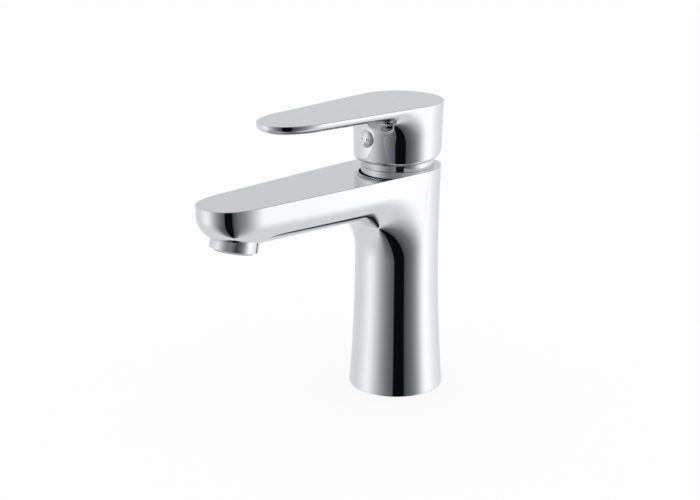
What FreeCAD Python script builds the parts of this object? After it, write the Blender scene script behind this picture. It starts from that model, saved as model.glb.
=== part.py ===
import FreeCAD, Part
import math
import os

V = FreeCAD.Vector
X_AXIS = V(1, 0, 0)
Z_AXIS = V(0, 0, 1)

# Lengths are in millimetres, angles in degrees. The origin is the centre of the foot on the deck.
# +Z points up and the spout and the lever point along -Y.

# Clearances: pieces that are clamped or screwed together, pins that turn, and parts that run past each other
SEAT_GAP = 0.05
PIN_GAP = 0.04
RUN_GAP = 0.3

# Column and spout, one hollow brass casting
FOOT_R = 25.0
WAIST_DRAW = 3.15
WAIST_R = FOOT_R - WAIST_DRAW
WAIST_Z = 80.0
BODY_TOP = 120.0
FOOT_EDGE_R = 0.4
TOP_EDGE_R = 0.5
SPOUT_REACH = 111.2
SPOUT_TIP_R = 16.6
SPOUT_INSET = 0.6
SPOUT_DEPTH = 19.7
SPOUT_EDGE_R = 12.0
SPOUT_BLEND_R = 20.0
SPOUT_WALL = 3.0
SEAT_WEB = 12.0
PORT_R = 5.0
PORT_DROP = 7.5
PORT_REACH = 34.0

# Hose inlets (M10 x 1) and fixing stud (M8), drilled at tapping size in the seat web
INLET_X = 5.6
INLET_Y = -3.6
INLET_R = 2.4
INLET_TAP_R = 4.46
INLET_TAP_DEPTH = 8.5
STUD_Y = 9.0
STUD_TAP_R = 3.4
STUD_DEPTH = 10.0

# Sealing ring in the foot, and the land between its groove and the bore
FOOT_RING_INSET = 2.6
FOOT_RING_W = 2.8
FOOT_RING_T = 1.8
FOOT_LAND = 1.6
FOOT_RING_R = FOOT_R - FOOT_RING_INSET
FOOT_RING_BORE_R = FOOT_RING_R - FOOT_RING_W
FOOT_BORE_R = FOOT_RING_BORE_R - FOOT_LAND

# Ceramic cartridge, 35 mm class
SHELL_R = 16.0
SHELL_WALL = 1.4
COLLAR_STEP = 1.5
CARTRIDGE_R = SHELL_R + COLLAR_STEP
SHELL_BORE_R = SHELL_R - SHELL_WALL
FLANGE_T = 7.0
SPIGOT_T = 3.0
PEG_R = 1.2
PEG_H = 2.0
PEG_X = 11.0
PEG_Y = 5.0
INLET_SEAL_T = 1.6
INLET_SEAL_W = 1.4
OUTLET_Y = 2.6
OUTLET_R = 3.0
OUTLET_FLOOR = 2.5
OUTLET_WINDOW_W = 8.0
DISC_SEAL_T = 1.2
DISC_SEAL_W = 1.0
DISC_SEAL_PROUD = 0.3
FIXED_DISC_MARGIN = 1.0
FIXED_DISC_R = SHELL_BORE_R - FIXED_DISC_MARGIN
FIXED_DISC_T = 4.0
MOVING_DISC_STEP = 2.2
MOVING_DISC_R = FIXED_DISC_R - MOVING_DISC_STEP
MOVING_DISC_T = 4.0
MIXING_POCKET_X = 7.6
MIXING_POCKET_Y = 3.7
MIXING_POCKET_T = 2.0
DISC_FILM = 0.03
DRIVER_STEP = 0.2
DRIVER_R = MOVING_DISC_R - DRIVER_STEP
DRIVER_T = 5.0
DRIVER_PEG_R = 1.3
DRIVER_PEG_INSET = 2.7
DRIVER_PEG_X = DRIVER_R - DRIVER_PEG_INSET
DRIVER_PEG_H = 1.5
CARRIER_LEDGE = 2.8
CARRIER_FLANGE_R = SHELL_BORE_R - RUN_GAP
CARRIER_R = CARRIER_FLANGE_R - CARRIER_LEDGE
CARRIER_FLANGE_T = 3.0
CARRIER_RISE = 4.5
ROOF_T = 3.1
NOSE_WALL = 1.6
NOSE_H = 5.4
COLLAR_H = 7.0
COLLAR_RING_D = 1.36
COLLAR_RING_DROP = 4.0
CARRIER_RING_D = 1.2
CARRIER_RING_RISE = 0.7
PIVOT_RISE = 5.0
PIVOT_R = 1.5
PIVOT_INSET = 1.0
PIVOT_L = 2 * (CARRIER_R - PIVOT_INSET)

# Slotted ring nut that holds the cartridge down
NUT_LEDGE = 0.4
NUT_R = CARTRIDGE_R + NUT_LEDGE
NUT_T = 6.0
NUT_SLOT_W = 4.0
NUT_SLOT_T = 2.0

# Lever: hub and paddle, one hollow zinc casting
LIFT = 20.0
HUB_GAP = 3.6
HUB_TOP_R = 23.5
HUB_FLARE = 0.78
HUB_WAIST_R = HUB_TOP_R - HUB_FLARE
HUB_WAIST_RISE = 5.0
HUB_EDGE_R = 2.2
HUB_RELIEF_R = 169.0
HUB_RELIEF_Y = -19.0
HUB_SKIRT = 2.52
HUB_CAVITY_R = HUB_WAIST_R - HUB_SKIRT
HUB_CAVITY_H = 8.0
HUB_ROOF_T = 6.5
HUB_WALL = 3.2
HANDLE_RISE = 34.0
PADDLE_T = 3.8
PADDLE_INSET = 0.8
PADDLE_EDGE_R = 2.4
PADDLE_BLEND_R = 8.0
NOSE_Y = -64.5
NOSE_LENGTH = 26.7
NOSE_WIDTH = 17.5
SOCKET_WALL = 4.3
SOCKET_RISE = 8.5
SCREW_WEB_W = 12.0

# Dome-shaped trim ring in the mouth of the hub
HUB_CLEARANCE = 1.2
TRIM_R = HUB_CAVITY_R - HUB_CLEARANCE
TRIM_BAND_H = 2.4
TRIM_DOME_H = 4.0
TRIM_HOLE_R = 14.6
TRIM_WALL = 1.3
TRIM_SPIGOT_L = 2.4

# Stem of the cartridge, its grub screw (M5) and the cap that hides the screw
STEM_W = 8.0
ARM_W = 5.0
BALL_R = 2.3
NECK_R = 1.8
STEM_END = 4.0
SCREW_R = 2.5
SCREW_L = 8.0
SCREW_KEY = 2.5
SCREW_KEY_DEPTH = 2.6
CAP_RISE = 16.9
CAP_R = 4.6
CAP_T = 3.4
CAP_DOME_R = 8.0
MARK_R = 0.45
MARK_X = 1.65
MARK_L = 1.5

# Aerator, screwed on a nipple (M22 x 1) under the spout's tip
TIP_TILT = 12.0
TIP_OUTLET_Y = -110.3
TIP_OUTLET_DROP = 2.8
AERATOR_R = 11.75
AERATOR_H = 8.0
AERATOR_WALL = 0.95
AERATOR_LIP_R = 9.6
AERATOR_LIP_T = 1.2
NIPPLE_WALL = 2.1
TIP_BOSS_WALL = 2.6
TIP_BOSS_ROOF = 2.4
TIP_GASKET_T = 1.2
INSERT_LIP = 1.2
INSERT_FLANGE_T = 0.9
INSERT_BARREL_H = 5.0
INSERT_WALL = 0.9
GRID_PITCH = 2.3
GRID_BAR = 0.5
GRID_T = 1.4
GRID_RECESS = 0.3
SCREEN_PITCH = 1.7
SCREEN_HOLE_R = 0.55
SCREEN_T = 0.5

# How near two measured places lie when they count as the same: a level, and a point on a round wall
LEVEL_TOLERANCE = 0.001
WALL_TOLERANCE = 0.02

# Levels of the cartridge, worked down from the rim of the body
nut_top = BODY_TOP - TRIM_SPIGOT_L - RUN_GAP
shoulder_z = nut_top - NUT_T
roof_z = shoulder_z - ROOF_T
carrier_flange_top = roof_z - RUN_GAP
carrier_z = carrier_flange_top - CARRIER_FLANGE_T
driver_top = carrier_z - RUN_GAP
driver_z = driver_top - DRIVER_T
moving_disc_z = driver_z - MOVING_DISC_T
fixed_disc_top = moving_disc_z - DISC_FILM
fixed_disc_z = fixed_disc_top - FIXED_DISC_T
spigot_top = fixed_disc_z - DISC_SEAL_PROUD
flange_top = spigot_top - SPIGOT_T
seat_z = flange_top - FLANGE_T
web_z = seat_z - SEAT_WEB
collar_z = shoulder_z - COLLAR_H
pivot_z = shoulder_z + PIVOT_RISE
carrier_top = pivot_z + CARRIER_RISE
carrier_ring_z = shoulder_z + CARRIER_RING_RISE

# The stem leans forward by half its travel when the valve is shut
rest_lean = LIFT / 2
ball_z = (driver_z + driver_top) / 2
ball_arm = pivot_z - ball_z
disc_rest_y = ball_arm * math.sin(math.radians(rest_lean))
pivot_point = V(0, 0, pivot_z)

# Radii that follow from a neighbour
chamber_r = CARTRIDGE_R + SEAT_GAP
thread_r = NUT_R + SEAT_GAP
carrier_bore_r = CARRIER_R + RUN_GAP
nose_r = carrier_bore_r + NOSE_WALL
nut_bore_r = nose_r + SEAT_GAP
collar_groove_r = chamber_r - COLLAR_RING_D - SEAT_GAP
carrier_groove_r = carrier_bore_r - CARRIER_RING_D - PIN_GAP

# Heights in the lever, and the outlet's place under the spout
handle_top = BODY_TOP + HANDLE_RISE
hub_z = BODY_TOP + HUB_GAP
cap_z = BODY_TOP + CAP_RISE
spout_z = BODY_TOP - SPOUT_DEPTH
outlet_point = V(0, TIP_OUTLET_Y, spout_z - TIP_OUTLET_DROP)
nipple_r = AERATOR_R - AERATOR_WALL - SEAT_GAP
nipple_bore_r = nipple_r - NIPPLE_WALL
pocket_h = AERATOR_H + SEAT_GAP
insert_flange_top = AERATOR_LIP_T + INSERT_FLANGE_T
nipple_end = insert_flange_top + TIP_GASKET_T
barrel_r = nipple_bore_r - RUN_GAP
insert_bore_r = barrel_r - INSERT_WALL
insert_top = insert_flange_top + INSERT_BARREL_H
strainer_r = insert_bore_r - SEAT_GAP


def rod(radius, low, high, x=0.0, y=0.0):
    return Part.makeCylinder(radius, high - low, V(x, y, low))


def ring(radius, bore, low, high, x=0.0, y=0.0):
    return rod(radius, low, high, x, y).cut(rod(bore, low, high, x, y))


def block(width, depth, low, high, x=0.0, y=0.0):
    return Part.makeBox(width, depth, high - low, V(x - width / 2, y - depth / 2, low))


def o_ring(inner, outer, z):
    return Part.makeTorus((inner + outer) / 2, (outer - inner) / 2, V(0, 0, z), Z_AXIS)


def turned(edges):
    return Part.Face(Part.Wire(edges)).revolve(V(0, 0, 0), Z_AXIS, 360)


def line(start, end):
    return Part.LineSegment(start, end).toShape()


def lean(shape):
    """Turns a shape made about an upright stem to the stem's lean at rest."""
    return shape.rotated(pivot_point, X_AXIS, rest_lean)


def at_outlet(shape):
    """Carries a shape made about the Z axis to the aerator's tilted axis."""
    return shape.rotated(V(0, 0, 0), X_AXIS, -TIP_TILT).translated(outlet_point)


def waisted_radius(z, waist_r, waist_z, end_r, end_z):
    """Radius of a wall that is drawn in on one arc, upright at its waist and end_r wide at end_z."""
    height = end_z - waist_z
    flare = end_r - waist_r
    arc_r = (height ** 2 + flare ** 2) / (2 * flare)
    return waist_r + arc_r - math.sqrt(arc_r ** 2 - (z - waist_z) ** 2)


def waisted_column(radius_at, low, high):
    points = [V(radius_at(z), 0, z) for z in (low, (low + high) / 2, high)]
    return turned([
        line(V(0, 0, low), points[0]),
        Part.Arc(*points).toShape(),
        line(points[2], V(0, 0, high)),
        line(V(0, 0, high), V(0, 0, low)),
    ])


def column_radius(z):
    return waisted_radius(z, WAIST_R, WAIST_Z, FOOT_R, 0.0)


def hub_radius(z):
    return waisted_radius(z, HUB_WAIST_R, BODY_TOP + HUB_WAIST_RISE, HUB_TOP_R, handle_top)


def bar(root_r, tip, low, high):
    """A bar with straight sides that leave a root circle and run on, tangent, into a rounded tip.

    The tip is an ellipse, given as the Y of its centre, its length and its half width.
    """
    tip_y, tip_length, tip_width = tip

    def reach(angle):
        return math.hypot(tip_width * math.cos(angle), tip_length * math.sin(angle))

    shallow, steep = 0.0, math.pi / 4
    for _ in range(50):
        angle = (shallow + steep) / 2
        if root_r > reach(angle) - tip_y * math.sin(angle):
            shallow = angle
        else:
            steep = angle
    span = reach(angle)
    root_x = root_r * math.cos(angle)
    root_y = -root_r * math.sin(angle)
    tip_x = tip_width ** 2 * math.cos(angle) / span
    side_end_y = tip_y - tip_length ** 2 * math.sin(angle) / span
    tip_end = V(0, tip_y - tip_length, low)
    if tip_length - tip_width < LEVEL_TOLERANCE:
        rounded = Part.Arc(V(tip_x, side_end_y, low), tip_end, V(-tip_x, side_end_y, low))
    else:
        turn = math.acos(tip_length * math.sin(angle) / span)
        whole = Part.Ellipse(tip_end, V(tip_width, tip_y, low), V(0, tip_y, low))
        rounded = Part.ArcOfEllipse(whole, -turn, turn)
    outline = Part.Wire(Part.__sortEdges__([
        line(V(root_x, root_y, low), V(tip_x, side_end_y, low)),
        rounded.toShape(),
        line(V(-tip_x, side_end_y, low), V(-root_x, root_y, low)),
        line(V(-root_x, root_y, low), V(root_x, root_y, low)),
    ]))
    return Part.Face(outline).extrude(V(0, 0, high - low))


def flat_edges(shape, z, front_of):
    """Edges that lie in the level plane z and reach further forward than front_of."""
    return [edge for edge in shape.Edges
            if abs(edge.BoundBox.ZMin - z) < LEVEL_TOLERANCE
            and abs(edge.BoundBox.ZMax - z) < LEVEL_TOLERANCE
            and edge.BoundBox.YMin < front_of]


def wall_edges(shape, radius_at, low, high):
    """Edges in front of the axis where a round wall meets what was fused to it."""
    found = []
    for edge in shape.Edges:
        start, end = edge.ParameterRange
        points = [edge.valueAt(start + (end - start) * share) for share in (0.1, 0.5, 0.9)]
        on_wall = all(abs(math.hypot(p.x, p.y) - radius_at(p.z)) < WALL_TOLERANCE for p in points)
        if on_wall and low < points[1].z < high and points[1].y < 0:
            found.append(edge)
    return found


def arm_on_post(post, radius_at, arm, top, arm_edge_r, blend_r, top_edge_r):
    """Fuses a bar to a round post: rounds the bar's underside, the inner corner and the level top."""
    underside = arm.BoundBox.ZMin
    root_y = max(edge.BoundBox.YMax for edge in flat_edges(arm, underside, 0))
    rounded = arm.makeFillet(arm_edge_r, flat_edges(arm, underside, root_y - LEVEL_TOLERANCE))
    joined = post.fuse(rounded).removeSplitter()
    corner = wall_edges(joined, radius_at, underside - LEVEL_TOLERANCE, top - LEVEL_TOLERANCE)
    blended = joined.makeFillet(blend_r, corner)
    return blended.makeFillet(top_edge_r, flat_edges(blended, top, FOOT_R)).Solids[0]


def spout_bar(wall):
    """The spout's outside, or with a wall given, the hollow that leaves that wall all round."""
    root_r = column_radius(BODY_TOP) - SPOUT_INSET - wall
    tip_r = SPOUT_TIP_R - wall
    return bar(root_r, (-SPOUT_REACH, tip_r, tip_r), spout_z + wall, BODY_TOP - wall)


def waterway():
    """The hollow of the spout and the sloping port that joins it to the cartridge's chamber."""
    hollow = spout_bar(SPOUT_WALL)
    floor_z = spout_z + SPOUT_WALL
    hollow = hollow.makeFillet(SPOUT_EDGE_R - SPOUT_WALL, flat_edges(hollow, floor_z, -FOOT_R))
    hollow = hollow.cut(rod(thread_r + SPOUT_WALL, floor_z, BODY_TOP))
    boss = rod(AERATOR_R + RUN_GAP + TIP_BOSS_WALL, -SPOUT_DEPTH, pocket_h + TIP_BOSS_ROOF)
    hollow = hollow.cut(at_outlet(boss))
    start = V(0, -chamber_r, collar_z - PORT_DROP)
    run = V(0, -PORT_REACH, (spout_z + BODY_TOP) / 2) - start
    inside_chamber = start - run * (PORT_R / run.Length)
    return hollow.fuse(Part.makeCylinder(PORT_R, run.Length + PORT_R, inside_chamber, run))


def body():
    column = waisted_column(column_radius, 0.0, BODY_TOP)
    casting = arm_on_post(column, column_radius, spout_bar(0.0), BODY_TOP,
                          SPOUT_EDGE_R, SPOUT_BLEND_R, TOP_EDGE_R)
    casting = casting.makeFillet(FOOT_EDGE_R, flat_edges(casting, 0.0, 0.0))
    cuts = [
        rod(FOOT_BORE_R, 0, web_z),
        ring(FOOT_RING_R + SEAT_GAP, FOOT_RING_BORE_R - SEAT_GAP, 0, FOOT_RING_T),
        rod(chamber_r, seat_z, BODY_TOP),
        rod(thread_r, shoulder_z - RUN_GAP, BODY_TOP),
        rod(STUD_TAP_R, web_z, web_z + STUD_DEPTH, 0, STUD_Y),
        waterway(),
    ]
    for side in (-1, 1):
        cuts.append(rod(INLET_TAP_R, web_z, web_z + INLET_TAP_DEPTH, side * INLET_X, INLET_Y))
        cuts.append(rod(INLET_R, web_z, seat_z, side * INLET_X, INLET_Y))
        cuts.append(rod(PEG_R + SEAT_GAP, seat_z - PEG_H - RUN_GAP, seat_z, side * PEG_X, PEG_Y))
    pocket = ring(AERATOR_R + RUN_GAP, nipple_r, -SPOUT_DEPTH, pocket_h)
    under_nipple = rod(AERATOR_R, -SPOUT_DEPTH, nipple_end)
    nipple_bore = rod(nipple_bore_r, -SPOUT_DEPTH, pocket_h + SPOUT_DEPTH / 2)
    cuts += [at_outlet(pocket), at_outlet(under_nipple), at_outlet(nipple_bore)]
    for cut in cuts:
        casting = casting.cut(cut)
    return casting


def foot_ring():
    return ring(FOOT_RING_R, FOOT_RING_BORE_R, 0, FOOT_RING_T)


def inlet_places():
    return [(-INLET_X, INLET_Y), (INLET_X, INLET_Y)]


def cartridge_base():
    base = rod(SHELL_R, seat_z, flange_top).fuse(rod(SHELL_BORE_R - SEAT_GAP, seat_z, spigot_top))
    outlet_low = seat_z + OUTLET_FLOOR
    cuts = [
        rod(OUTLET_R, outlet_low, spigot_top, 0, OUTLET_Y),
        block(OUTLET_WINDOW_W, SHELL_R, outlet_low, flange_top - SEAT_GAP, 0, OUTLET_Y + SHELL_R / 2),
    ]
    for x, y, hole_r in [(*place, INLET_R) for place in inlet_places()] + [(0, OUTLET_Y, OUTLET_R)]:
        seal_pocket_z = spigot_top + DISC_SEAL_PROUD - DISC_SEAL_T
        cuts.append(rod(hole_r + DISC_SEAL_W + SEAT_GAP, seal_pocket_z, spigot_top, x, y))
    for x, y in inlet_places():
        cuts.append(rod(INLET_R, seat_z, spigot_top, x, y))
        cuts.append(rod(INLET_R + INLET_SEAL_W + SEAT_GAP, seat_z, seat_z + INLET_SEAL_T, x, y))
    for cut in cuts:
        base = base.cut(cut)
    for side in (-1, 1):
        base = base.fuse(rod(PEG_R, seat_z - PEG_H, seat_z + PEG_H, side * PEG_X, PEG_Y))
    return base.removeSplitter()


def inlet_seals():
    return Part.makeCompound([
        ring(INLET_R + INLET_SEAL_W, INLET_R, seat_z, seat_z + INLET_SEAL_T, x, y) for x, y in inlet_places()
    ])


def disc_seals():
    low = fixed_disc_z - DISC_SEAL_T
    rings = [ring(INLET_R + DISC_SEAL_W, INLET_R, low, fixed_disc_z, x, y) for x, y in inlet_places()]
    rings.append(ring(OUTLET_R + DISC_SEAL_W, OUTLET_R, low, fixed_disc_z, 0, OUTLET_Y))
    return Part.makeCompound(rings)


def fixed_disc():
    disc = rod(FIXED_DISC_R, fixed_disc_z, fixed_disc_top)
    for x, y in inlet_places():
        disc = disc.cut(rod(INLET_R, fixed_disc_z, fixed_disc_top, x, y))
    return disc.cut(rod(OUTLET_R, fixed_disc_z, fixed_disc_top, 0, OUTLET_Y))


def driver_pegs(radius, low):
    return [rod(radius, low, driver_z, side * DRIVER_PEG_X, disc_rest_y) for side in (-1, 1)]


def moving_disc():
    disc = rod(MOVING_DISC_R, moving_disc_z, driver_z, 0, disc_rest_y)
    rim = Part.Ellipse(V(0, disc_rest_y, moving_disc_z), MIXING_POCKET_X, MIXING_POCKET_Y)
    pocket = Part.Face(Part.Wire(rim.toShape())).extrude(V(0, 0, MIXING_POCKET_T))
    disc = disc.cut(pocket)
    for peg in driver_pegs(DRIVER_PEG_R + SEAT_GAP, driver_z - DRIVER_PEG_H - SEAT_GAP):
        disc = disc.cut(peg)
    return disc


def disc_driver():
    driver = rod(DRIVER_R, driver_z, driver_top, 0, disc_rest_y)
    for peg in driver_pegs(DRIVER_PEG_R, driver_z - DRIVER_PEG_H):
        driver = driver.fuse(peg)
    return driver.cut(rod(BALL_R + RUN_GAP, driver_z, driver_top, 0, disc_rest_y)).removeSplitter()


def cartridge_housing():
    housing = rod(SHELL_R, flange_top, shoulder_z)
    housing = housing.fuse(rod(CARTRIDGE_R, collar_z, shoulder_z))
    housing = housing.fuse(rod(nose_r, collar_z, shoulder_z + NOSE_H))
    groove_z = shoulder_z - COLLAR_RING_DROP
    groove_half = COLLAR_RING_D / 2 + RUN_GAP
    cuts = [
        rod(SHELL_BORE_R, flange_top, roof_z),
        rod(carrier_bore_r, flange_top, shoulder_z + NOSE_H),
        ring(chamber_r, collar_groove_r, groove_z - groove_half, groove_z + groove_half),
    ]
    for cut in cuts:
        housing = housing.cut(cut)
    return housing.removeSplitter()


def collar_ring():
    return o_ring(collar_groove_r + SEAT_GAP / 2, chamber_r - SEAT_GAP / 2, shoulder_z - COLLAR_RING_DROP)


def stem_slot():
    """Opening through the carrier that gives the stem room for its whole swing."""
    swing = math.radians(rest_lean)
    above = STEM_W / 2 / math.cos(swing) + (carrier_top - pivot_z) * math.tan(swing)
    below = ARM_W / 2 / math.cos(swing) + (pivot_z - carrier_z) * math.tan(swing)
    length = 2 * (max(above, below) + RUN_GAP)
    return block(STEM_W + 2 * RUN_GAP, length, carrier_z, carrier_top)


def carrier():
    part = rod(CARRIER_FLANGE_R, carrier_z, carrier_flange_top).fuse(rod(CARRIER_R, carrier_z, carrier_top))
    groove_half = CARRIER_RING_D / 2 + SEAT_GAP
    groove_low = carrier_ring_z - groove_half
    groove = ring(carrier_bore_r, carrier_groove_r, groove_low, groove_low + 2 * groove_half)
    part = part.cut(groove).cut(stem_slot())
    return part.cut(pivot_rod(PIVOT_R + PIN_GAP / 2, 2 * CARRIER_R)).removeSplitter()


def carrier_ring():
    return o_ring(carrier_groove_r + PIN_GAP / 2, carrier_bore_r - PIN_GAP, carrier_ring_z)


def pivot_rod(radius, length):
    return Part.makeCylinder(radius, length, V(-length / 2, 0, pivot_z), X_AXIS)


def pivot_pin():
    return pivot_rod(PIVOT_R, PIVOT_L)


def grub_screw_height():
    """Height of the grub screw up the stem: square to the stem, it meets the hub in the cap's centre."""
    swing = math.radians(rest_lean)
    return hub_radius(cap_z) * math.sin(swing) + (cap_z - pivot_z) * math.cos(swing)


def stem():
    shank_top = pivot_z + grub_screw_height() + STEM_END
    shank = block(STEM_W, STEM_W, pivot_z - STEM_W / 2, shank_top)
    arm = block(ARM_W, ARM_W, ball_z, pivot_z)
    ball = Part.makeSphere(BALL_R, V(0, 0, ball_z))
    arm_clear = block(ARM_W, ARM_W, ball_z - BALL_R, driver_top + RUN_GAP)
    slim_neck = rod(NECK_R, ball_z, driver_top + RUN_GAP)
    lever = shank.fuse(arm.cut(arm_clear)).fuse(slim_neck).fuse(ball)
    return lean(lever.cut(pivot_rod(PIVOT_R + PIN_GAP, 2 * STEM_W)).removeSplitter())


def retaining_nut():
    nut = ring(NUT_R, nut_bore_r, shoulder_z, nut_top)
    slot = block(NUT_SLOT_W, 2 * NUT_R, nut_top - NUT_SLOT_T, nut_top)
    return nut.cut(slot).cut(slot.rotated(V(0, 0, 0), Z_AXIS, 90))


def dome(radius, hole_r, low, band_h, dome_h):
    """A round cap: an upright band, then a quarter of an ellipse in to the hole."""
    band_top = low + band_h
    rim = V(radius, 0, band_top)
    crown = V(hole_r, 0, band_top + dome_h)
    share = math.sqrt(0.5)
    shoulder = V(hole_r + (radius - hole_r) * share, 0, band_top + dome_h * share)
    return turned([
        line(V(0, 0, low), V(radius, 0, low)),
        line(V(radius, 0, low), rim),
        Part.Arc(rim, shoulder, crown).toShape(),
        line(crown, V(0, 0, crown.z)),
        line(V(0, 0, crown.z), V(0, 0, low)),
    ])


def trim_ring():
    outside = dome(TRIM_R, TRIM_HOLE_R, BODY_TOP, TRIM_BAND_H, TRIM_DOME_H)
    inside = dome(TRIM_R - TRIM_WALL, TRIM_HOLE_R - TRIM_WALL, BODY_TOP, TRIM_BAND_H - TRIM_WALL, TRIM_DOME_H)
    spigot = ring(NUT_R, TRIM_R - 2 * TRIM_WALL, BODY_TOP - TRIM_SPIGOT_L, BODY_TOP + TRIM_WALL)
    hole = rod(TRIM_HOLE_R, BODY_TOP, handle_top)
    return outside.cut(inside).cut(hole).fuse(spigot).removeSplitter()


def socket(height, clearance):
    width = STEM_W + 2 * clearance
    return block(width, width, pivot_z + SOCKET_RISE, pivot_z + height + clearance)


def screw_rod(radius, start, end):
    """A round bar along the grub screw's axis, measured forward from the stem's front face."""
    face = V(0, -STEM_W / 2 - start, pivot_z + grub_screw_height())
    return lean(Part.makeCylinder(radius, end - start, face, V(0, -1, 0)))


def cap_seat_y():
    return -(hub_radius(cap_z) - CAP_T)


def lever():
    hub = waisted_column(hub_radius, BODY_TOP, handle_top)
    nose = (NOSE_Y, NOSE_LENGTH, NOSE_WIDTH)
    paddle = bar(HUB_TOP_R - PADDLE_INSET, nose, handle_top - PADDLE_T, handle_top)
    casting = arm_on_post(hub, hub_radius, paddle, handle_top, PADDLE_EDGE_R, PADDLE_BLEND_R, TOP_EDGE_R)

    relief_axis = V(-2 * FOOT_R, HUB_RELIEF_Y, hub_z + HUB_RELIEF_R)
    casting = casting.common(Part.makeCylinder(HUB_RELIEF_R, 4 * FOOT_R, relief_axis, X_AXIS))
    lowest = [edge for edge in casting.Edges if edge.BoundBox.ZMax < handle_top - HANDLE_RISE / 2]
    casting = casting.makeFillet(HUB_EDGE_R, lowest)

    cavity_roof = handle_top - HUB_ROOF_T
    cavity_top = hub_z + HUB_CAVITY_H
    stem_end = grub_screw_height() + STEM_END
    boss_r = STEM_W / math.sqrt(2) + SOCKET_WALL
    boss = lean(rod(boss_r, pivot_z + SOCKET_RISE, handle_top))
    upper = rod(HUB_WAIST_R - HUB_WALL, cavity_top, cavity_roof)
    upper = upper.cut(block(SCREW_WEB_W, FOOT_R, cavity_top, cavity_roof, 0, -FOOT_R / 2))
    hollow = rod(HUB_CAVITY_R, BODY_TOP, cavity_top).fuse(upper).cut(boss)
    casting = casting.cut(hollow)
    casting = casting.cut(lean(socket(stem_end, SEAT_GAP)))
    casting = casting.cut(screw_rod(SCREW_R + SEAT_GAP, 0, FOOT_R))
    cap_hole = Part.makeCylinder(CAP_R + SEAT_GAP, FOOT_R, V(0, cap_seat_y(), cap_z), V(0, -1, 0))
    return casting.cut(cap_hole)


def grub_screw():
    screw = screw_rod(SCREW_R, 0, SCREW_L)
    sides = 6
    corner_r = SCREW_KEY / 2 / math.cos(math.pi / sides)
    turn = FreeCAD.Rotation(V(0, 1, 0), 360 / sides)
    corners = [V(corner_r, 0, 0)]
    for _ in range(sides):
        corners.append(turn.multVec(corners[-1]))
    face = V(0, -STEM_W / 2 - SCREW_L, pivot_z + grub_screw_height())
    key = Part.Face(Part.makePolygon(corners)).translated(face).extrude(V(0, SCREW_KEY_DEPTH, 0))
    return screw.cut(lean(key))


def cap_crown_y():
    """Foremost point of the cap, whose crowned front leaves the hub's face at the cap's rim."""
    dome_centre_y = math.sqrt(CAP_DOME_R ** 2 - CAP_R ** 2) - hub_radius(cap_z)
    return dome_centre_y - CAP_DOME_R


def cap_form():
    plug = Part.makeCylinder(CAP_R, CAP_T + CAP_DOME_R, V(0, cap_seat_y(), cap_z), V(0, -1, 0))
    return plug.common(Part.makeSphere(CAP_DOME_R, V(0, cap_crown_y() + CAP_DOME_R, cap_z)))


def mark_rods():
    start_y = cap_crown_y() - CAP_DOME_R
    return [Part.makeCylinder(MARK_R, CAP_DOME_R + MARK_L, V(side * MARK_X, start_y, cap_z), V(0, 1, 0))
            for side in (-1, 1)]


def cap():
    plug = cap_form()
    for mark in mark_rods():
        plug = plug.cut(mark)
    return plug


def cap_marks():
    return Part.makeCompound([cap_form().common(mark) for mark in mark_rods()])


def aerator_shell():
    shell = rod(AERATOR_R, 0, AERATOR_H)
    shell = shell.cut(rod(nipple_r + SEAT_GAP, AERATOR_LIP_T, AERATOR_H))
    return at_outlet(shell.cut(rod(AERATOR_LIP_R, 0, AERATOR_LIP_T)))


def aerator_insert():
    insert = rod(AERATOR_LIP_R - SEAT_GAP, -INSERT_LIP, AERATOR_LIP_T)
    insert = insert.fuse(rod(nipple_r, AERATOR_LIP_T, insert_flange_top))
    insert = insert.fuse(rod(barrel_r, AERATOR_LIP_T, insert_top))
    return at_outlet(insert.cut(rod(insert_bore_r, -INSERT_LIP, insert_top)).removeSplitter())


def tip_gasket():
    return at_outlet(ring(nipple_r, barrel_r + SEAT_GAP, insert_flange_top, nipple_end))


def lattice(pitch, reach):
    """Places of a square lattice that lie within reach of its centre."""
    count = int(reach / pitch)
    steps = [pitch * index for index in range(-count, count + 1)]
    return [(x, y) for x in steps for y in steps if math.hypot(x, y) < reach]


def aerator_grid():
    low = GRID_RECESS - INSERT_LIP
    high = low + GRID_T
    cell = GRID_PITCH - GRID_BAR
    holes = [block(cell, cell, low, high, x, y) for x, y in lattice(GRID_PITCH, strainer_r - cell)]
    return at_outlet(rod(strainer_r, low, high).cut(Part.makeCompound(holes)))


def aerator_screen():
    low = insert_top - SCREEN_T
    places = lattice(SCREEN_PITCH, strainer_r - SCREEN_PITCH / 2)
    holes = [rod(SCREEN_HOLE_R, low, insert_top, x, y) for x, y in places]
    return at_outlet(rod(strainer_r, low, insert_top).cut(Part.makeCompound(holes)))


PIECES = {
    "body": body,
    "foot_ring": foot_ring,
    "cartridge_base": cartridge_base,
    "inlet_seals": inlet_seals,
    "disc_seals": disc_seals,
    "fixed_disc": fixed_disc,
    "moving_disc": moving_disc,
    "disc_driver": disc_driver,
    "cartridge_housing": cartridge_housing,
    "collar_ring": collar_ring,
    "carrier": carrier,
    "carrier_ring": carrier_ring,
    "pivot_pin": pivot_pin,
    "stem": stem,
    "retaining_nut": retaining_nut,
    "trim_ring": trim_ring,
    "lever": lever,
    "grub_screw": grub_screw,
    "cap": cap,
    "cap_marks": cap_marks,
    "aerator_shell": aerator_shell,
    "aerator_insert": aerator_insert,
    "tip_gasket": tip_gasket,
    "aerator_grid": aerator_grid,
    "aerator_screen": aerator_screen,
}

os.makedirs("parts", exist_ok=True)
for name, make in PIECES.items():
    make().exportStep("parts/" + name + ".step")
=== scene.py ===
import math

import bpy
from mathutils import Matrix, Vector
from mathutils.geometry import interpolate_bezier


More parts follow.
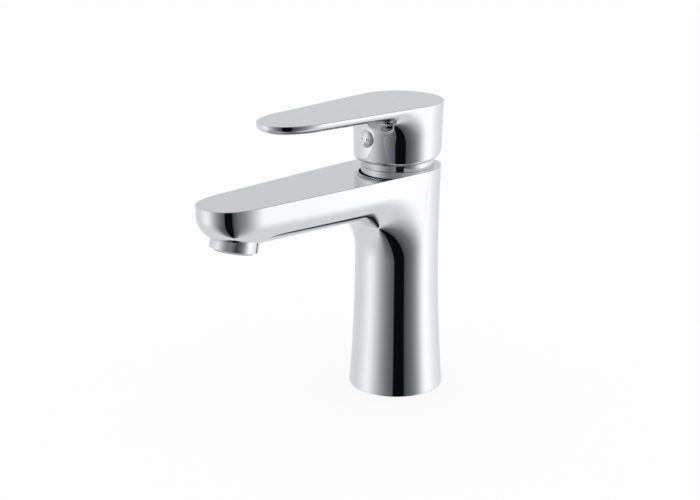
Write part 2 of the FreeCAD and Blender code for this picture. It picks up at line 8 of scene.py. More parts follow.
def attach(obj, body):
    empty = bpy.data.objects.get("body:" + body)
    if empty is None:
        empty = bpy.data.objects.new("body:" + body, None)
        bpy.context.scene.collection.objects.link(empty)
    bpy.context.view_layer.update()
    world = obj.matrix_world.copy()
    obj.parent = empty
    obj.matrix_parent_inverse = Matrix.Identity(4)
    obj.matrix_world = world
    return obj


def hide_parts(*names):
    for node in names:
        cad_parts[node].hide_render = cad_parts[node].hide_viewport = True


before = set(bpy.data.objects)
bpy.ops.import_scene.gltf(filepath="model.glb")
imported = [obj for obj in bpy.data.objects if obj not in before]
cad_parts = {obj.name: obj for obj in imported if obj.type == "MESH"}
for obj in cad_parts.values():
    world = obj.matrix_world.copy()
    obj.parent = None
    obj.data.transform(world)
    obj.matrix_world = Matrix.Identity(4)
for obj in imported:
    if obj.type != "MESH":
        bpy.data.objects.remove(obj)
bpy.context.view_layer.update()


# Body: the column and the spout, one hollow brass casting, ground smooth and chrome plated.
# The spout's underside swings down into the front of the column in one soft bend.
# It stands on its foot, and holes drilled from below take its inlets and its fixing.
mm = 0.001
quarter_turn = math.pi / 2
weld = 0.001 * mm


class Socket:
    """A shader socket that takes part in Python arithmetic by adding Math nodes."""

    def __init__(self, tree, link=None):
        self.tree = tree
        self.link = link

    def node(self, kind, settings=None, stops=None, output=0, **values):
        """Adds a node, sets it and its ramp's stops, fills its inputs and gives one of its outputs.

        An input goes by its name, with _ for a space, or by its number, as in i0.
        """
        made = self.tree.nodes.new(kind)
        for name, value in (settings or {}).items():
            setattr(made, name, value)
        for index, (position, colour) in enumerate(stops or []):
            if index > 1:
                made.color_ramp.elements.new(position)
            made.color_ramp.elements[index].position = position
            made.color_ramp.elements[index].color = colour
        for name, value in values.items():
            socket = made.inputs[int(name[1:]) if name[1:].isdigit() else name.replace("_", " ")]
            if isinstance(value, Socket):
                self.tree.links.new(value.link, socket)
            else:
                socket.default_value = value
        return Socket(self.tree, made.outputs[output])

    def maths(self, operation, first, second):
        return self.node("ShaderNodeMath", {"operation": operation}, i0=first, i1=second)

    def __add__(self, other):
        return self.maths("ADD", self, other)

    def __radd__(self, other):
        return self.maths("ADD", other, self)

    def __sub__(self, other):
        return self.maths("SUBTRACT", self, other)

    def __rsub__(self, other):
        return self.maths("SUBTRACT", other, self)

    def __mul__(self, other):
        return self.maths("MULTIPLY", self, other)

    def __rmul__(self, other):
        return self.maths("MULTIPLY", other, self)

    def __truediv__(self, other):
        return self.maths("DIVIDE", self, other)

    def __rtruediv__(self, other):
        return self.maths("DIVIDE", other, self)


def mixed(share, first, second):
    """A colour between two others."""
    return share.node("ShaderNodeMix", {"data_type": "RGBA"}, output=2, i0=share, i6=first, i7=second)


def split(vector):
    """The X, Y and Z of a vector."""
    return [vector.node("ShaderNodeSeparateXYZ", output=axis, Vector=vector) for axis in range(3)]


def new_material(name, **constants):
    """A new material, its Principled shader with the constant sockets set, and its object coordinates."""
    material = bpy.data.materials.new(name)
    material.use_nodes = True
    tree = material.node_tree
    shader = tree.nodes["Principled BSDF"]
    for socket, value in constants.items():
        shader.inputs[socket.replace("_", " ")].default_value = value
    place = Socket(tree).node("ShaderNodeTexCoord", output="Object")
    return material, shader, place


def feed(shader, **varying):
    """Links worked-out values to the shader's own sockets."""
    for socket, value in varying.items():
        value.tree.links.new(value.link, shader.inputs[socket.replace("_", " ")])


def chrome_plate(name, hollow_r=0.0, hollow_top=0.0):
    """Bright chrome: a mirror whose tint and gloss drift a little where the wheel dwelt.

    Within hollow_r of the axis and below hollow_top, inside a casting, the bare metal stays dull, and its
    colour is darkened there as painted shade.
    """
    chrome_tint = (0.750, 0.750, 0.762, 1.0)
    chrome_shade = (0.730, 0.730, 0.744, 1.0)
    # The dark grey for the hollow is partly the dull bare metal and partly painted shade in the recess.
    bare_metal_and_painted_shade = (0.26, 0.25, 0.24, 1.0)
    mirror_roughness = 0.015
    drift_roughness = 0.02
    grain_roughness = 0.008
    cast_roughness = 0.5
    drift_scale = 45.0
    grain_scale = 900.0
    material, shader, place = new_material(name, Metallic=1.0)
    x, y, z = split(place)
    hollow = z.maths("LESS_THAN", x * x + y * y, hollow_r ** 2) * z.maths("LESS_THAN", z, hollow_top)
    drift = place.node("ShaderNodeTexNoise", Vector=place, Scale=drift_scale, Detail=2.0)
    grain = place.node("ShaderNodeTexNoise", Vector=place, Scale=grain_scale, Detail=1.0)
    plated = mirror_roughness + drift_roughness * drift + grain_roughness * grain
    # In the hollow the tint turns to that dark grey: dull bare metal with painted shade.
    tint = mixed(hollow, mixed(drift, chrome_tint, chrome_shade), bare_metal_and_painted_shade)
    feed(shader, Base_Color=tint, Roughness=plated + cast_roughness * hollow)
    return material


def steps(count):
    """Even shares from 0 to 1."""
    return [index / count for index in range(count + 1)]


def arc(count, span=quarter_turn):
    """The cosine and sine of even angles from 0 to span."""
    return [(math.cos(share * span), math.sin(share * span)) for share in steps(count)]


def waisted(waist_r, waist_z, end_r, end_z):
    """Radius by height of a wall drawn in on one arc: upright at its waist and end_r wide at end_z."""
    height = end_z - waist_z
    flare = end_r - waist_r
    arc_r = (height ** 2 + flare ** 2) / (2 * flare)
    return lambda z: waist_r + arc_r - math.sqrt(arc_r ** 2 - (z - waist_z) ** 2)


def facing(angle):
    """The level direction at an angle from the side, X, towards the front."""
    return Vector((math.cos(angle), -math.sin(angle), 0.0))


def pick(piece):
    """Selects one piece alone."""
    bpy.ops.object.select_all(action="DESELECT")
    piece.select_set(True)
    bpy.context.view_layer.objects.active = piece


def new_piece(name, points, edges, faces):
    """A new mesh object, selected alone."""
    mesh = bpy.data.meshes.new(name)
    mesh.from_pydata(points, edges, faces)
    piece = bpy.data.objects.new(name, mesh)
    bpy.context.collection.objects.link(piece)
    pick(piece)
    return piece


def close_skin(piece):
    """Joins the points that meet and turns the faces outwards."""
    bpy.ops.object.mode_set(mode="EDIT")
    bpy.ops.mesh.select_all(action="SELECT")
    bpy.ops.mesh.remove_doubles(threshold=weld)
    bpy.ops.mesh.normals_make_consistent(inside=False)
    bpy.ops.object.mode_set(mode="OBJECT")


def arm_on_post(name, radius_at, foot_at, foot_round, inside, top, top_round, lines, change_from, tip, swell,
                bend, counts):
    """A round post with a flat-topped arm, as one smooth skin: one half is drawn and mirrored in X.

    Its lines climb the post, turn forward in one soft bend and run on under the arm to its rounded tip.
    radius_at gives the post's radius by height, foot_at the level by Y where the foot's rounded rim ends, and
    inside the rings of the hollow under the foot, from the rim inwards, as a radius and a level by Y. lines
    gives each line from the middle outwards, once at the root and once at the tip, as its share of the half
    width, how far it lies in from the edge, and its level. The change between the two begins at change_from
    of the straight side. tip gives the point of the tip's outline that faces an angle, swell how far the side
    stands out midway, and bend the size of the bend by the line's share of the half width. counts are the
    steps up the post, in the bend, along the arm, round the tip, up the side and round the back.
    """
    post_count, bend_count, arm_count, tip_count, wall_count, back_count = counts
    root_r = radius_at(top)
    rim_z = top - top_round
    round_count = 10
    fullness = 0.6
    little = 0.01
    halvings = 50

    # The straight side is the line that touches both the post and the tip's outline.
    shallow = 0.0
    steep = quarter_turn / 2
    for _ in range(halvings):
        taper = (shallow + steep) / 2
        if root_r > tip(taper).dot(facing(taper)):
            shallow = taper
        else:
            steep = taper
    side_start = root_r * facing(taper)
    side_end = tip(taper)

    def side(share, inset):
        bulge = swell * (4 * share * (1 - share)) ** 2
        return side_start.lerp(side_end, share) + (bulge - inset) * facing(taper)

    def side_share(y):
        return (side_start.y - y) / (side_start.y - side_end.y)

    def on_post(azimuth, radius, z):
        return Vector((radius * math.sin(azimuth), -radius * math.cos(azimuth), z))

    def post_line(azimuth, end_z):
        """From the innermost ring under the foot, round the foot's rim and up the wall."""
        foot_z = foot_at(-radius_at(rim_z) * math.cos(azimuth))
        foot_radius = radius_at(foot_z)
        points = [on_post(azimuth, radius, level(-radius * math.cos(azimuth)))
                  for radius, level in reversed(inside)]
        for across, drop in reversed(arc(round_count)[1:]):
            round_r = foot_radius - foot_round * (1 - across)
            points.append(on_post(azimuth, round_r, foot_z - foot_round * drop))
        for share in steps(post_count):
            z = foot_z + (end_z - foot_z) * share
            points.append(on_post(azimuth, radius_at(z), z))
        return points

    def rim(place, normal):
        """The rounded edge of the level top, and a narrow margin that keeps the top's reflection flat."""
        margin = 0.3 * mm
        points = []
        for across, rise in arc(round_count)[1:]:
            points.append(place - top_round * (1 - across) * normal + Vector((0.0, 0.0, top_round * rise)))
        return points + [points[-1] - margin * normal]

    def changed(share, turn):
        """How far the section has changed to the tip's, half along the side and half round the tip."""
        last_turn = math.radians(50.0)
        along = max(share - change_from, 0.0) / (1 - change_from)
        around = min((turn - taper) / (last_turn - taper), 1.0)
        part = (along + around) / 2
        return part ** 2 * (3 - 2 * part)

    def on_side(line, share):
        flat, inset, level = line[0].lerp(line[1], changed(share, taper))
        place = side(share, inset)
        return Vector((place.x * flat, place.y, level))

    def on_tip(line, turn):
        flat, inset, level = line[0].lerp(line[1], changed(1.0, turn))
        place = tip(turn) - inset * facing(turn)
        end_y = on_side(line, 1.0).y
        return Vector((place.x * flat, end_y + (place.y - end_y) * flat, level))

    under = []
    for line in lines:
        root_flat, root_inset, root_level = line[0]
        azimuth = math.asin(root_flat * math.sin(math.asin(1 - root_inset / root_r) - taper))
        bend_r = bend(root_flat)
        climb = post_line(azimuth, root_level - bend_r)
        share = side_share(-root_r * math.cos(azimuth) - bend_r)
        landing = on_side(line, share)
        up = (climb[-1] - climb[-2]).normalized() * bend_r * fullness
        ahead = (on_side(line, share + little) - landing).normalized() * bend_r * fullness
        corner = interpolate_bezier(climb[-1], climb[-1] + up, landing - ahead, landing, bend_count + 1)
        run = [on_side(line, share + (1 - share) * part) for part in steps(arm_count)[1:]]
        around = [on_tip(line, taper + (quarter_turn - taper) * part) for part in steps(tip_count)[1:]]
        under.append(climb + [Vector(point) for point in corner[1:]] + run + around)

    # The last of those lines is the foot of the side wall.
    wall_azimuth = azimuth
    edge_line = under[-1][len(climb) - 1:]
    edge_z = edge_line[0].z

    def flare_share(share):
        """The post's own widening between the start of the bend and the rim, from 0 to 1."""
        edge_r = radius_at(edge_z)
        return (radius_at(edge_z + (rim_z - edge_z) * share) - edge_r) / (radius_at(rim_z) - edge_r)

    wall = []
    for index, base in enumerate(edge_line):
        part = (index - bend_count - arm_count) / tip_count
        normal = facing(taper + (quarter_turn - taper) * max(part, 0.0))
        crest = Vector((base.x, base.y, rim_z))
        if index == 0:
            crest = on_post(wall_azimuth, radius_at(rim_z), rim_z)
        elif index <= bend_count:
            crest = side(side_share(base.y), 0.0) + Vector((0.0, 0.0, rim_z))
        rise = []
        for share in steps(wall_count):
            place = base.lerp(crest, flare_share(share))
            place.z = base.z + (rim_z - base.z) * share
            rise.append(place)
        wall.append(rise + rim(crest, normal))

    back = []
    for share in steps(back_count):
        azimuth = wall_azimuth + (math.pi - wall_azimuth) * share
        rise = post_line(azimuth, edge_z)
        for part in steps(wall_count)[1:]:
            z = edge_z + (rim_z - edge_z) * part
            rise.append(on_post(azimuth, radius_at(z), z))
        back.append(rise + rim(rise[-1], on_post(azimuth, 1.0, 0.0)))

    points = []
    faces = []
    for patch in (under, wall, back):
        start = len(points)
        length = len(patch[0])
        for column in patch:
            points += column
        for column in range(len(patch) - 1):
            for row in range(length - 1):
                first = start + column * length + row
                faces.append((first, first + 1, first + length + 1, first + length))
    level_top = [column[-1] for column in reversed(wall)] + [column[-1] for column in back[1:]]
    hollow_end = [column[0] for column in under] + [column[0] for column in back[1:]]
    for outline in (level_top, hollow_end):
        faces.append(tuple(range(len(points), len(points) + len(outline))))
        points += outline

    piece = new_piece(name, points, [], faces)
    piece.modifiers.new("other_half", "MIRROR")
    bpy.ops.object.modifier_apply(modifier="other_half")
    close_skin(piece)
    return piece


def drill(piece, radius, depth, location, tilt=0.0):
    """Takes a round hole out of a piece; tilt turns its axis about X."""
    hole_sides = 128
    bpy.ops.object.select_all(action="DESELECT")
    bpy.ops.mesh.primitive_cylinder_add(vertices=hole_sides, radius=radius, depth=depth, location=location,
                                        rotation=(tilt, 0.0, 0.0))
    bit = bpy.context.object
    hole = piece.modifiers.new("hole", "BOOLEAN")
    hole.object = bit
    hole.solver = "EXACT"
    bpy.context.view_layer.objects.active = piece
    bpy.ops.object.modifier_apply(modifier="hole")
    bpy.data.objects.remove(bit)


def polish(piece, material, body, replaced):
    """Smooths a finished piece between its real edges, gives it its material and sets it in the frame."""
    real_edge = math.radians(32.0)
    pick(piece)
    bpy.ops.object.shade_smooth_by_angle(angle=real_edge)
    piece.data.materials.clear()
    piece.data.materials.append(material)
    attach(piece, body)
    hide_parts(replaced)


body_top = 120.0 * mm
web_z = 69.27 * mm
seat_z = 81.27 * mm
waist_r = 21.85 * mm
waist_z = 80.0 * mm
foot_r = 25.0 * mm
foot_edge_r = 0.4 * mm
foot_bore_r = 18.0 * mm
groove_outer_r = 22.45 * mm
groove_inner_r = 19.55 * mm
groove_top = 1.8 * mm
top_edge_r = 0.25 * mm
column_radius = waisted(waist_r, waist_z, foot_r, 0.0)
foot_rings = [(groove_outer_r, lambda y: 0.0), (groove_outer_r, lambda y: groove_top),
              (groove_inner_r, lambda y: groove_top), (groove_inner_r, lambda y: 0.0),
              (foot_bore_r, lambda y: 0.0), (foot_bore_r, lambda y: web_z)]
spout_end = -128.2 * mm
tip_front_r = 15.2 * mm
tip_side_r = 42.0 * mm
tip_change = math.radians(22.0)


def spout_tip(turn):
    """A round front whose curve opens out towards the sides."""
    front = Vector((0.0, spout_end + tip_front_r, 0.0))
    if turn > tip_change:
        return front + tip_front_r * facing(turn)
    return front + (tip_front_r - tip_side_r) * facing(tip_change) + tip_side_r * facing(turn)


def spout_section(share, rounded, belly, low):
    """A point of the spout's half section, from the middle of its underside round to its upright side.

    rounded is the share of the half width that is rounded, belly the height of that rounding and low the
    level of the underside.
    """
    half_width = 20.0 * mm
    flat = (1 - rounded) * half_width
    curve = quarter_turn / 2 * (rounded * half_width + belly)
    along = share * (flat + curve)
    if along < flat:
        return Vector((along / half_width, 0.0, low))
    angle = (along - flat) / curve * quarter_turn
    return Vector((1 - rounded * (1 - math.sin(angle)), 0.0, low + belly * (1 - math.cos(angle))))


root_section = (0.57, 12.0 * mm, 99.1 * mm)
tip_section = (1.0, 15.3 * mm, 99.4 * mm)
spout_swell = 0.4 * mm
spout_bend_r = 26.0 * mm
spout_line_count = 40
spout_counts = (56, 30, 56, 40, 12, 64)
spout_lines = [(spout_section(share, *root_section), spout_section(share, *tip_section))
               for share in steps(spout_line_count)]
casting = arm_on_post("body_casting", column_radius, lambda y: foot_edge_r, foot_edge_r, foot_rings, body_top,
                      top_edge_r, spout_lines, change_from=0.0, tip=spout_tip, swell=spout_swell,
                      bend=lambda flat: spout_bend_r, counts=spout_counts)
thread_r = 17.95 * mm
chamber_length = 40.0 * mm
drill(casting, thread_r, chamber_length, (0.0, 0.0, seat_z + chamber_length / 2))
inlet_tap_r = 4.46 * mm
inlet_depth = 17.0 * mm
inlet_x = 5.6 * mm
inlet_y = -3.6 * mm
for hole_x in (-inlet_x, inlet_x):
    drill(casting, inlet_tap_r, inlet_depth, (hole_x, inlet_y, web_z))
stud_tap_r = 3.4 * mm
stud_depth = 20.0 * mm
stud_y = 9.0 * mm
drill(casting, stud_tap_r, stud_depth, (0.0, stud_y, web_z))
outlet = Vector((0.0, -110.3 * mm, 97.5 * mm))
outlet_tilt = math.radians(-12.0)
outlet_axis = Vector((0.0, -math.sin(outlet_tilt), math.cos(outlet_tilt)))
pocket_r = 12.05 * mm
pocket_depth = 8.05 * mm
pocket_length = 28.0 * mm
pocket_middle = outlet + outlet_axis * (pocket_depth - pocket_length / 2)
drill(casting, pocket_r, pocket_length, pocket_middle, outlet_tilt)
lap = 0.05 * mm
# Inside the column's chamber the plate gives way to dull metal with painted shade.
body_chrome = chrome_plate("body_chrome", thread_r + lap, body_top - lap)
polish(casting, body_chrome, "faucet_body", "body")


# Seals: black rubber rings, moulded, matt and a little dusty, in the foot, the cartridge and the spout's tip.
# They lie in grooves and are held by what is screwed down on them.
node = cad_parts


def dress(material, *names):
    """Gives nodes of the frame their finish."""
    for name in names:
        node[name].data.materials.clear()
        node[name].data.materials.append(material)


def moulded(name, dark, pale, roughness, grain, dent):
    """A moulded finish: its colour drifts, and a fine grain changes its gloss and stands up as a bump."""
    drift_scale = 70.0
    grain_roughness = 0.12
    grain_height = 0.05 * mm
    material, shader, place = new_material(name)
    drift = place.node("ShaderNodeTexNoise", Vector=place, Scale=drift_scale, Detail=3.0)
    fine = place.node("ShaderNodeTexNoise", Vector=place, Scale=grain, Detail=2.0)
    tint = mixed(drift, dark, pale)
    bump = place.node("ShaderNodeBump", Height=fine, Strength=dent, Distance=grain_height)
    feed(shader, Base_Color=tint, Roughness=roughness + grain_roughness * fine, Normal=bump)
    return material


rubber_black = (0.016, 0.016, 0.017, 1.0)
rubber_dusty = (0.045, 0.045, 0.047, 1.0)
seal_rubber = moulded("seal_rubber", rubber_black, rubber_dusty, roughness=0.6, grain=2600.0, dent=0.3)
dress(seal_rubber, "foot_ring", "inlet_seals", "disc_seals", "collar_ring", "carrier_ring", "tip_gasket")


# Cartridge: base, housing, driver and stem carrier, moulded in a pale engineering plastic.
# They hold the discs together and stand on the seat in the column under the ring nut.
ivory = (0.66, 0.66, 0.62, 1.0)
pale_ivory = (0.78, 0.78, 0.75, 1.0)
cartridge_plastic = moulded("cartridge_plastic", ivory, pale_ivory, roughness=0.38, grain=3200.0, dent=0.15)
dress(cartridge_plastic, "cartridge_base", "cartridge_housing", "disc_driver", "carrier")


# Ceramic discs: two plates of fired alumina, lapped flat on the faces that slide on each other.
# The lower one stays in the base, and the driver pushes the upper one to open the water's way.
alumina = (0.84, 0.83, 0.79, 1.0)
pale_alumina = (0.92, 0.91, 0.88, 1.0)
lapped_alumina = moulded("lapped_alumina", alumina, pale_alumina, roughness=0.22, grain=5200.0, dent=0.05)
dress(lapped_alumina, "fixed_disc", "moving_disc")


# Turned metal: the brass ring nut and stem, and the steel pivot pin and grub screw.
# The lathe leaves fine rings on them.
def turned_metal(name, bright, dull, roughness):
    """Bare metal with the lathe's fine rings, a little clouded."""
    ring_scale = 900.0
    ring_waver = 1.5
    ring_roughness = 0.1
    ring_dent = 0.15
    ring_height = 0.02 * mm
    cloud_scale = 120.0
    material, shader, place = new_material(name, Metallic=1.0)
    rings = place.node("ShaderNodeTexWave", {"wave_type": "RINGS", "rings_direction": "Z"}, Vector=place,
                       Scale=ring_scale, Distortion=ring_waver, Detail=2.0)
    cloud = place.node("ShaderNodeTexNoise", Vector=place, Scale=cloud_scale, Detail=3.0)
    tint = mixed(cloud, bright, dull)
    bump = place.node("ShaderNodeBump", Height=rings, Strength=ring_dent, Distance=ring_height)
    feed(shader, Base_Color=tint, Roughness=roughness + ring_roughness * rings, Normal=bump)
    return material


brass = (0.80, 0.62, 0.31, 1.0)
dull_brass = (0.64, 0.47, 0.22, 1.0)
plain_brass = turned_metal("plain_brass", brass, dull_brass, roughness=0.24)
dress(plain_brass, "retaining_nut", "stem")
steel = (0.66, 0.66, 0.66, 1.0)
dull_steel = (0.52, 0.52, 0.53, 1.0)
pin_steel = turned_metal("pin_steel", steel, dull_steel, roughness=0.26)
dress(pin_steel, "pivot_pin", "grub_screw")


# Trim ring: a drawn brass dome, chrome plated, pushed into the mouth of the body by the spigot under it.
# It hides the ring nut, and the lever's hub turns round it.
ring_r = 19.0 * mm
ring_hole_r = 14.6 * mm
ring_wall = 1.3 * mm
ring_edge_r = 0.25 * mm
band_top = body_top + 4.6 * mm
dome_h = 1.8 * mm
dome_w = ring_r - ring_hole_r
spigot_r = 17.9 * mm
spigot_bore_r = 16.4 * mm
spigot_z = body_top - 2.4 * mm
dome_count = 24
lining_count = 16
lining_span = math.acos(ring_wall / dome_w)
edge_count = 4
turn_count = 192
profile = [(ring_hole_r + dome_w * across, band_top + dome_h * rise) for across, rise in arc(dome_count)]
profile += [(ring_hole_r - ring_wall + dome_w * across, band_top - ring_wall + dome_h * rise)
            for across, rise in reversed(arc(lining_count, lining_span))]
profile += [(ring_r - ring_wall, body_top + ring_wall), (spigot_bore_r, body_top + ring_wall),
            (spigot_bore_r, spigot_z), (spigot_r, spigot_z), (spigot_r, body_top)]
profile += [(ring_r - ring_edge_r * (1 - rise), body_top + ring_edge_r * (1 - across))
            for across, rise in arc(edge_count)]
dome = new_piece("trim_dome", [(radius, 0.0, z) for radius, z in profile],
                 [(index, (index + 1) % len(profile)) for index in range(len(profile))], [])
spin = dome.modifiers.new("turn", "SCREW")
spin.steps = turn_count
spin.render_steps = turn_count
spin.use_merge_vertices = True
spin.merge_threshold = weld
bpy.ops.object.modifier_apply(modifier="turn")
close_skin(dome)
bright_chrome = chrome_plate("bright_chrome")
polish(dome, bright_chrome, "faucet_body", "trim_ring")


# Lever: hub and paddle, one hollow zinc casting, chrome plated, fixed on the stem by the grub screw.
# The hub's lower rim is cut on a wide arc so that the lever can rock back.
handle_top = 154.0 * mm
hub_z = 123.6 * mm
hub_waist_r = 22.72 * mm
hub_waist_z = 125.0 * mm
hub_top_r = 23.5 * mm
hub_edge_r = 2.2 * mm
relief_r = 169.0 * mm
relief_y = -19.0 * mm
cavity_r = 20.2 * mm
cavity_top = 131.6 * mm
hub_radius = waisted(hub_waist_r, hub_waist_z, hub_top_r, handle_top)


def relief_level(y):
    """The level of the hub's lower rim."""
    return hub_z + relief_r - math.sqrt(relief_r ** 2 - (y - relief_y) ** 2)


nose_length = 26.7 * mm
nose_width = 17.5 * mm
nose_y = -64.5 * mm


def paddle_nose(turn):
    """The paddle's outline ends in half an ellipse."""
    span = math.hypot(nose_width * math.cos(turn), nose_length * math.sin(turn))
    nose_x = nose_width ** 2 * math.cos(turn) / span
    return Vector((nose_x, nose_y - nose_length ** 2 * math.sin(turn) / span, 0.0))


paddle_z = handle_top - 4.9 * mm
side_edge = (6.0 * mm, 3.7 * mm)
nose_edge = (6.0 * mm, 3.6 * mm)


def paddle_section(share, inwards, upwards, edge):
    """A point of the paddle's half section; edge is the width and height of its rounded lower edge."""
    return Vector((share, edge[0] * inwards, paddle_z + edge[1] * upwards))


def paddle_bend(flat):
    """The bend under the paddle is tight in the middle and wider towards the sides."""
    middle = 8.5
    widening = 4.5
    return (middle + widening * flat ** 2) * mm


paddle_flat_count = 36
paddle_edge_count = 16
lever_counts = (24, 24, 44, 48, 4, 72)
paddle_half = [(share, 1.0, 0.0) for share in steps(paddle_flat_count)[:-1]]
paddle_half += [(1.0, 1 - across, 1 - rise) for across, rise in reversed(arc(paddle_edge_count))]
paddle_lines = [(paddle_section(*place, side_edge), paddle_section(*place, nose_edge))
                for place in paddle_half]
cavity_rings = [(cavity_r, relief_level), (cavity_r, lambda y: cavity_top)]
lever = arm_on_post("lever_casting", hub_radius, lambda y: relief_level(y) + hub_edge_r, hub_edge_r,
                    cavity_rings, handle_top, top_edge_r, paddle_lines, change_from=0.7, tip=paddle_nose,
                    swell=0.0, bend=paddle_bend, counts=lever_counts)
cap_z = 136.9 * mm
cap_hole_r = 4.65 * mm
cap_hole_depth = 3.4 * mm
cap_drill = 20.0 * mm
cap_hole_y = -(hub_radius(cap_z) - cap_hole_depth)
drill(lever, cap_hole_r, cap_drill, (0.0, cap_hole_y - cap_drill / 2, cap_z), quarter_turn)
# Inside the hub's cavity the plate gives way to dull metal with painted shade.
lever_chrome = chrome_plate("lever_chrome", cavity_r + lap, cavity_top + lap)
polish(lever, lever_chrome, "lever_arm", "lever")


# Cap: a moulded plastic plug, chrome plated, pressed into the hub over the grub screw.
# Its two dark dots are small inlays of plain plastic let into its face.
dress(bright_chrome, "cap")
mark_dark = (0.030, 0.030, 0.032, 1.0)
mark_pale = (0.055, 0.055, 0.06, 1.0)
mark_plastic = moulded("mark_plastic", mark_dark, mark_pale, roughness=0.3, grain=4000.0, dent=0.05)
dress(mark_plastic, "cap_marks")


# Aerator: a turned brass shell, chrome plated, screwed on the spout's nipple and tilted forward with it.
# It holds a moulded insert of grey plastic with the grid that straightens the stream and the dirt screen.
dress(bright_chrome, "aerator_shell")
insert_grey = (0.56, 0.57, 0.60, 1.0)
insert_pale = (0.70, 0.71, 0.74, 1.0)
insert_plastic = moulded("insert_plastic", insert_grey, insert_pale, roughness=0.35, grain=3000.0, dent=0.1)
dress(insert_plastic, "aerator_insert", "aerator_grid", "aerator_screen")


# Floor and surroundings: a white sweep, and a studio of pale walls with a dark flag by the camera.
# The mirror finish shows the studio by direction, and the floor keeps the soft shadow.
floor_size = 6.0
bpy.ops.object.select_all(action="DESELECT")
bpy.ops.mesh.primitive_plane_add(size=floor_size, location=(0.0, 0.0, 0.0))
floor = bpy.context.object
floor.name = "floor"

camera_azimuth = math.radians(46.08)
camera_pitch = math.radians(17.18)
camera_place = Vector((0.50049, -0.51611, 0.29545))

world = bpy.data.worlds.new("studio")
bpy.context.scene.world = world
world.use_nodes = True
direction = Socket(world.node_tree).node("ShaderNodeTexCoord", output="Generated")
turned = direction.node("ShaderNodeVectorRotate", {"rotation_type": "Z_AXIS"}, Vector=direction,
                        Angle=quarter_turn - camera_azimuth)
east, north, upward = split(turned)
bearing = east.maths("ARCTAN2", north, east) / math.tau + 0.5


def grey(level, blue=0.0):
    """A grey that leans to blue."""
    return (level, level * (1 + blue / 3), level * (1 + blue), 1.0)


def around_studio(stops):
    """Brightness by bearing, in degrees from the camera's side, and its lean to blue."""
    return bearing.node("ShaderNodeValToRGB", Fac=bearing,
                        stops=[((at + 180) / 360, grey(level, blue)) for at, level, blue in stops])


def above(low, high):
    """From 0 to 1 between two heights over the horizon, in degrees."""
    return upward.node("ShaderNodeMapRange", {"interpolation_type": "SMOOTHSTEP"}, Value=upward,
                       From_Min=math.sin(math.radians(low)), From_Max=math.sin(math.radians(high)))


walls = around_studio([(-180, 0.61, 0.03), (-116, 0.63, 0.03), (-100, 0.72, 0.02), (-80, 0.88, 0.02),
                       (-69, 0.79, 0.03), (-55, 0.54, 0.04), (-42, 0.33, 0.07), (-30, 0.195, 0.12),
                       (-18, 0.118, 0.16), (-9.5, 0.085, 0.20), (-7, 0.003, 0.2), (18.5, 0.003, 0.2),
                       (20.5, 0.058, 0.14), (32, 0.10, 0.10), (42, 0.165, 0.08), (50, 0.265, 0.06),
                       (58, 0.44, 0.05), (67, 0.70, 0.03), (76, 0.95, 0.01), (85, 1.0, 0.0), (95, 0.96, 0.0),
                       (108, 0.83, 0.01), (128, 0.72, 0.02), (145, 0.64, 0.03), (180, 0.61, 0.03)])
ground = around_studio([(-180, 0.60, 0.03), (-90, 0.64, 0.03), (-65, 0.58, 0.03), (-42, 0.30, 0.07),
                        (-30, 0.14, 0.12), (-9.5, 0.06, 0.20), (-7, 0.003, 0.2), (18.5, 0.003, 0.2),
                        (20.5, 0.05, 0.14), (42, 0.15, 0.08), (58, 0.40, 0.05), (70, 0.58, 0.03),
                        (90, 0.64, 0.02), (180, 0.60, 0.03)])
sky = around_studio([(-180, 0.54, 0.045), (-116, 0.55, 0.045), (-100, 0.63, 0.03), (-80, 0.77, 0.03),
                     (-69, 0.69, 0.03), (-55, 0.47, 0.04), (-42, 0.29, 0.07), (-28, 0.19, 0.08),
                     (5, 0.24, 0.06), (50, 0.46, 0.05), (80, 0.72, 0.03), (105, 0.70, 0.03),
                     (140, 0.55, 0.04), (180, 0.54, 0.045)])
ceiling = around_studio([(-180, 0.22, 0.04), (-120, 0.40, 0.04), (-60, 0.45, 0.04), (40, 0.42, 0.04),
                         (70, 0.20, 0.04), (100, 0.09, 0.04), (140, 0.10, 0.04), (180, 0.22, 0.04)])
lower_room = mixed(above(-45.0, -14.0), ground, walls)
upper_room = mixed(above(26.0, 44.0), sky, ceiling)
room = mixed(above(-6.0, 4.0), lower_room, upper_room)
flag_across = around_studio([(-180, 0.0, 0.0), (-8, 0.0, 0.0), (-6, 1.0, 0.0), (17.5, 1.0, 0.0),
                             (19.5, 0.0, 0.0), (180, 0.0, 0.0)])
flag_upright = above(12.3, 13.3) - above(42.0, 46.0)
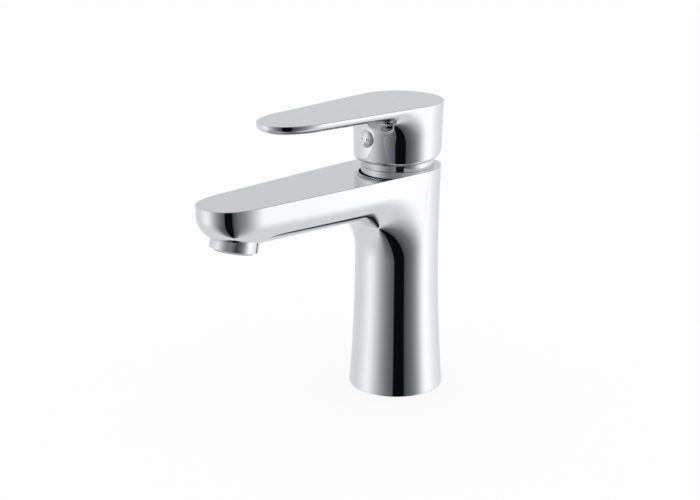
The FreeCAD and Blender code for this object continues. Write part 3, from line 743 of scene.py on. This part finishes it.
flag_level = 0.006
studio = mixed(flag_across * flag_upright, room, grey(flag_level))
softbox = 1.34
light_level = 0.9
backdrop_level = 0.98
seen = direction.node("ShaderNodeLightPath", output="Is Camera Ray")
mirrored = direction.node("ShaderNodeLightPath", output="Is Glossy Ray")
around_part = mixed(mirrored, grey(light_level / softbox), studio)
shown = mixed(seen, around_part, grey(backdrop_level / softbox))
background = world.node_tree.nodes["Background"]
background.inputs["Strength"].default_value = softbox
feed(background, Color=shown)

# Seen by the camera the sweep is almost all its own white, with a little of the light and shadow on it.
# The mirror finish looks through it, at the lower part of the studio.
own_white = 0.86
sweep_dull = (0.93, 0.93, 0.93, 1.0)
sweep_pale = (0.97, 0.97, 0.97, 1.0)
sweep_white = (1.0, 1.0, 1.0, 1.0)
mottle_scale = 30.0
floor_material, floor_shader, floor_place = new_material("white_sweep", Roughness=0.9)
mottle = floor_place.node("ShaderNodeTexNoise", Vector=floor_place, Scale=mottle_scale, Detail=2.0)
feed(floor_shader, Base_Color=mixed(mottle, sweep_dull, sweep_pale))
to_camera = floor_place.node("ShaderNodeLightPath", output="Is Camera Ray")
to_mirror = floor_place.node("ShaderNodeLightPath", output="Is Glossy Ray")
paper = Socket(floor_material.node_tree, floor_shader.outputs[0])
lit_white = floor_place.node("ShaderNodeEmission", Color=sweep_white, Strength=1.0)
clear = floor_place.node("ShaderNodeBsdfTransparent")
sweep = floor_place.node("ShaderNodeMixShader", i0=own_white * to_camera, i1=paper, i2=lit_white)
finish = floor_place.node("ShaderNodeMixShader", i0=to_mirror, i1=sweep, i2=clear)
feed(floor_material.node_tree.nodes["Material Output"], Surface=finish)
floor.data.materials.append(floor_material)

lens_mm = 73.31
sensor_mm = 36.0
bpy.ops.object.camera_add(location=camera_place, rotation=(quarter_turn - camera_pitch, 0.0, camera_azimuth))
camera = bpy.context.object
camera.data.lens = lens_mm
camera.data.sensor_width = sensor_mm
bpy.context.scene.camera = camera
bpy.context.scene.view_settings.view_transform = "Standard"
